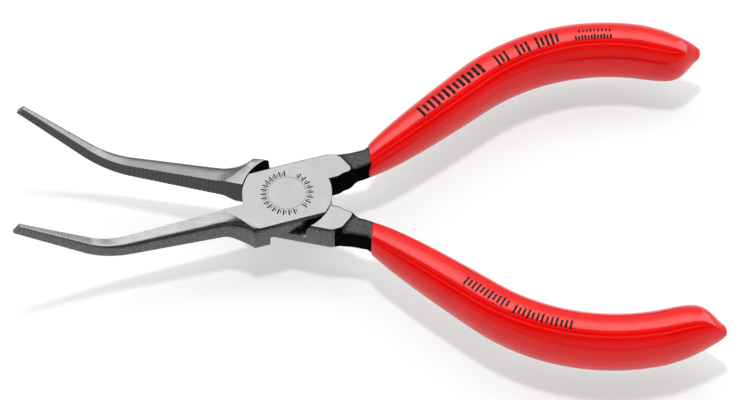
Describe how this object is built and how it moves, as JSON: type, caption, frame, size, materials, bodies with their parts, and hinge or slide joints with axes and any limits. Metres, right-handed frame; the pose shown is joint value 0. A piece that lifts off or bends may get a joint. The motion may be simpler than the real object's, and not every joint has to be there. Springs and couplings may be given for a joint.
{
  "type": "needle nose pliers",
  "caption": "Slim bent-nose pliers: two forged steel halves lapped on one flush rivet, with toothed tapering jaws and soft plastic dipped handles.",
  "frame": {"origin": "on the rivet's axis, at the ground underside of the head", "axes": "+Z along the rivet's axis, the way the jaws bend; +X from the rivet towards the handles, halving the opening; +Y towards the handle of the half whose plate laps on top"},
  "size_m": [0.152, 0.0884, 0.0238],
  "materials": {
    "forged_steel": "dark forged steel with bright ground faces",
    "rivet_steel": "ground flush, satin",
    "grip_plastic": "glossy dipped plastic"
  },
  "bodies": {
    "upper_lever": {"upper_half": "forged_steel", "upper_grip": "grip_plastic", "rivet": "rivet_steel"},
    "lower_lever": {"lower_half": "forged_steel", "lower_grip": "grip_plastic"}
  },
  "joints": [
    {"name": "rivet_hinge", "type": "hinge", "parent": "upper_lever", "child": "lower_lever", "pos_m": [0, 0, 0.0035], "axis": [0, 0, -1], "range_deg": [-29.2, 44]}
  ]
}
